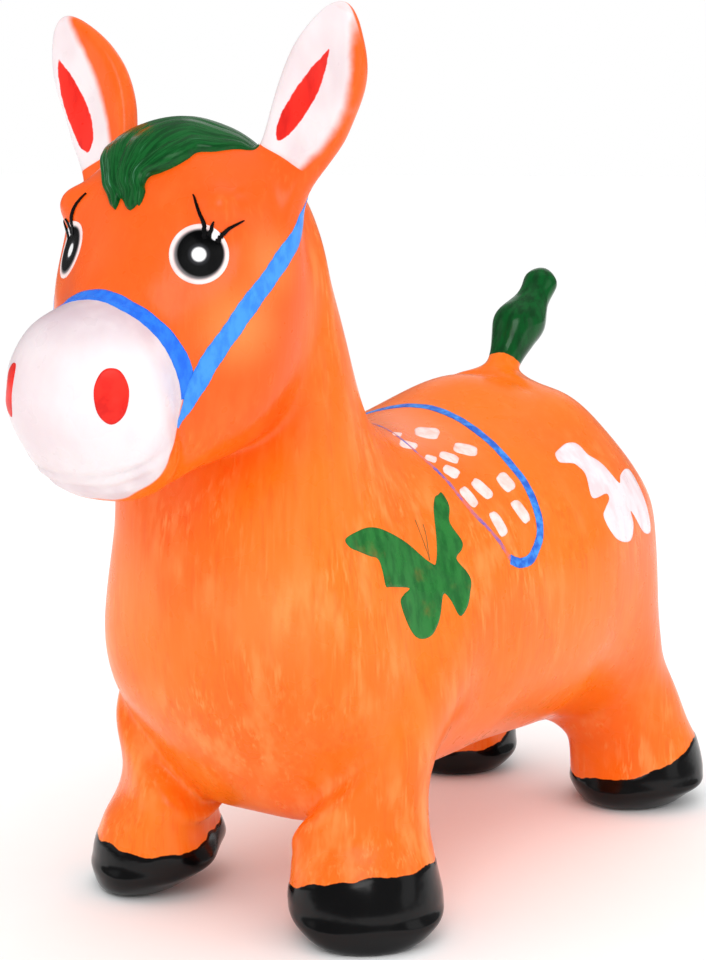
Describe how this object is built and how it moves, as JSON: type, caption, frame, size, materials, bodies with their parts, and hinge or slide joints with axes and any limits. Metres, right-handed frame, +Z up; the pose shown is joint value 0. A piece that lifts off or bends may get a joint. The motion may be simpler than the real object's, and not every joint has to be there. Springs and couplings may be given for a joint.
{
  "type": "bouncy ride on animal",
  "caption": "Inflatable hopping horse: hollow soft vinyl body on stubby legs with black hooves, long ears to hold, club tail and belly air valve.",
  "frame": {"origin": "middle of the whole toy's bounding box on the floor, midway from nose to rump", "axes": "-Y points where the horse looks, +X to the horse's left side, +Z up from the floor"},
  "size_m": [0.2534, 0.572, 0.5383],
  "materials": {
    "vinyl_orange": "gloss",
    "vinyl_white": "gloss",
    "vinyl_black": "gloss",
    "vinyl_green": "gloss",
    "vinyl_clear": "satin"
  },
  "bodies": {
    "body": {"torso_skin": "vinyl_orange", "neck_skin": "vinyl_orange", "head_skin": "vinyl_orange", "muzzle_skin": "vinyl_white", "leg_front_left": "vinyl_orange", "leg_front_right": "vinyl_orange", "leg_rear_left": "vinyl_orange", "leg_rear_right": "vinyl_orange", "ear_root_left": "vinyl_orange", "ear_root_right": "vinyl_orange", "tail_root": "vinyl_orange", "forelock": "vinyl_green", "valve_seat": "vinyl_clear"},
    "foot_front_left": {"hoof_front_left": "vinyl_black"},
    "foot_front_right": {"hoof_front_right": "vinyl_black"},
    "foot_rear_left": {"hoof_rear_left": "vinyl_black"},
    "foot_rear_right": {"hoof_rear_right": "vinyl_black"},
    "left_ear": {"ear_left": "vinyl_orange"},
    "right_ear": {"ear_right": "vinyl_orange"},
    "tail_club": {"tail": "vinyl_green"},
    "plug": {"valve_plug": "vinyl_clear"}
  },
  "joints": [
    {"name": "squash_front_left", "type": "slide", "parent": "body", "child": "foot_front_left", "axis": [0, 0, 1], "range_m": [0, 0.012], "stiffness_N_per_m": 1200, "springref_m": -0.005, "deforming": ["leg_front_left"]},
    {"name": "squash_front_right", "type": "slide", "parent": "body", "child": "foot_front_right", "axis": [0, 0, 1], "range_m": [0, 0.012], "stiffness_N_per_m": 1200, "springref_m": -0.005, "deforming": ["leg_front_right"]},
    {"name": "squash_rear_left", "type": "slide", "parent": "body", "child": "foot_rear_left", "axis": [0, 0, 1], "range_m": [0, 0.012], "stiffness_N_per_m": 1200, "springref_m": -0.005, "deforming": ["leg_rear_left"]},
    {"name": "squash_rear_right", "type": "slide", "parent": "body", "child": "foot_rear_right", "axis": [0, 0, 1], "range_m": [0, 0.012], "stiffness_N_per_m": 1200, "springref_m": -0.005, "deforming": ["leg_rear_right"]},
    {"name": "flex_ear_left", "type": "hinge", "parent": "body", "child": "left_ear", "pos_m": [0.064, -0.15409, 0.452], "axis": [0.9135, 0, -0.4067], "range_deg": [-20, 30], "stiffness_Nm_per_rad": 0.3, "deforming": ["ear_root_left"]},
    {"name": "flex_ear_right", "type": "hinge", "parent": "body", "child": "right_ear", "pos_m": [-0.064, -0.15409, 0.452], "axis": [0.9135, 0, 0.4067], "range_deg": [-20, 30], "stiffness_Nm_per_rad": 0.3, "deforming": ["ear_root_right"]},
    {"name": "flex_tail", "type": "hinge", "parent": "body", "child": "tail_club", "pos_m": [0, 0.17491, 0.31], "axis": [1, 0, 0], "range_deg": [-20, 20], "stiffness_Nm_per_rad": 0.4, "deforming": ["tail_root"]},
    {"name": "pull_plug", "type": "slide", "parent": "body", "child": "plug", "axis": [0, 0, -1], "range_m": [0, 0.03]}
  ]
}
